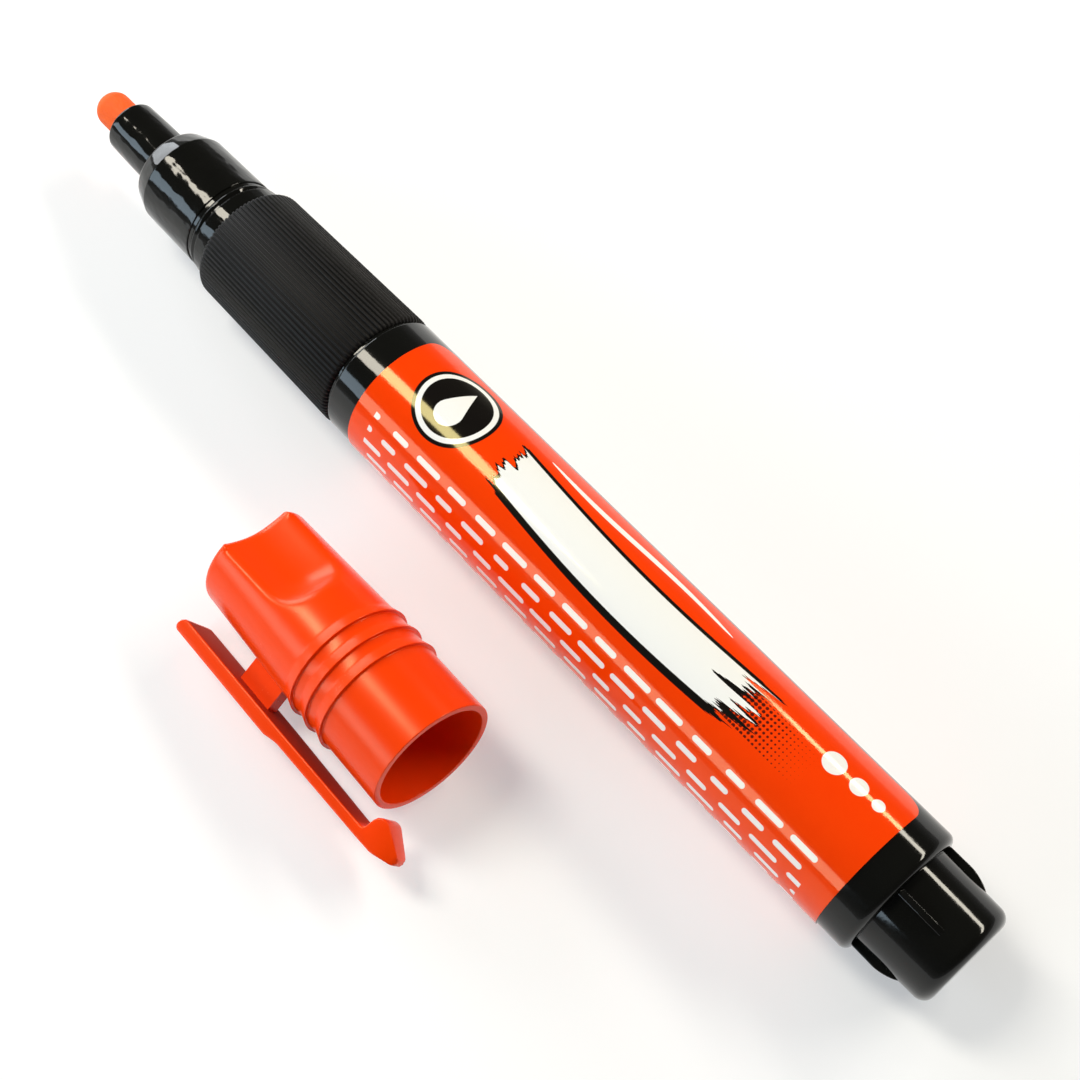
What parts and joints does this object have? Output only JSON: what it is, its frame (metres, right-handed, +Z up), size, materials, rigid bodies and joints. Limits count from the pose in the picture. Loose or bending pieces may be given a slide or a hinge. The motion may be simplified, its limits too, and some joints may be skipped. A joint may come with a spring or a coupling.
{
  "type": "paint marker",
  "caption": "Valve-action paint marker with a sprung bullet nib, ribbed grip and wrapped label, lying beside its scooped push-on cap with a see-saw clip.",
  "frame": {"origin": "middle of the base of the box round the whole model, on the table that pen and cap lie on", "axes": "+X along the pen from nib to tail, +Z up, the cap lies on the -Y side with its mouth towards +X"},
  "size_m": [0.1414, 0.0434, 0.0156],
  "materials": {
    "nib_felt": "matte felt, soaked with paint",
    "black_gloss": "polished moulding",
    "grip_black": "fine lengthwise ribs",
    "label_orange": "glossy printed film",
    "cap_orange": "polished moulding",
    "inner_white": "natural moulding",
    "seal_rubber": "matte",
    "steel": "bright drawn wire and ball"
  },
  "bodies": {
    "pen": {"barrel": "black_gloss", "label_film": "label_orange", "grip_sleeve": "grip_black", "nose_cone": "black_gloss", "tail_plug": "black_gloss", "valve_seat": "inner_white", "spring_cage": "inner_white", "valve_spring": "steel"},
    "nib_unit": {"nib": "nib_felt", "valve_stem": "inner_white", "valve_seal": "seal_rubber"},
    "ball": {"mixing_ball": "steel"},
    "cap": {"cap_shell": "cap_orange", "cap_seal": "inner_white", "clip_bridge": "cap_orange"},
    "clip": {"cap_clip": "cap_orange"}
  },
  "joints": [
    {"name": "nib_press", "type": "slide", "parent": "pen", "child": "nib_unit", "axis": [1, 0, 0], "range_m": [0, 0.0018], "stiffness_N_per_m": 800, "deforming": ["valve_spring"]},
    {"name": "mixing_ball_roll", "type": "slide", "parent": "pen", "child": "ball", "axis": [1, 0, 0], "range_m": [-0.026, 0.026]},
    {"name": "cap_slide", "type": "slide", "parent": "pen", "child": "cap", "axis": [0.9996, -0.0279, 0], "range_m": [-0.02, 0.02]},
    {"name": "clip_rock", "type": "hinge", "parent": "cap", "child": "clip", "pos_m": [0.00275, -0.01918, 0.00363], "axis": [0.0698, 0.3793, -0.9226], "range_deg": [0, 5], "stiffness_Nm_per_rad": 0.4, "deforming": ["clip_bridge"]}
  ]
}
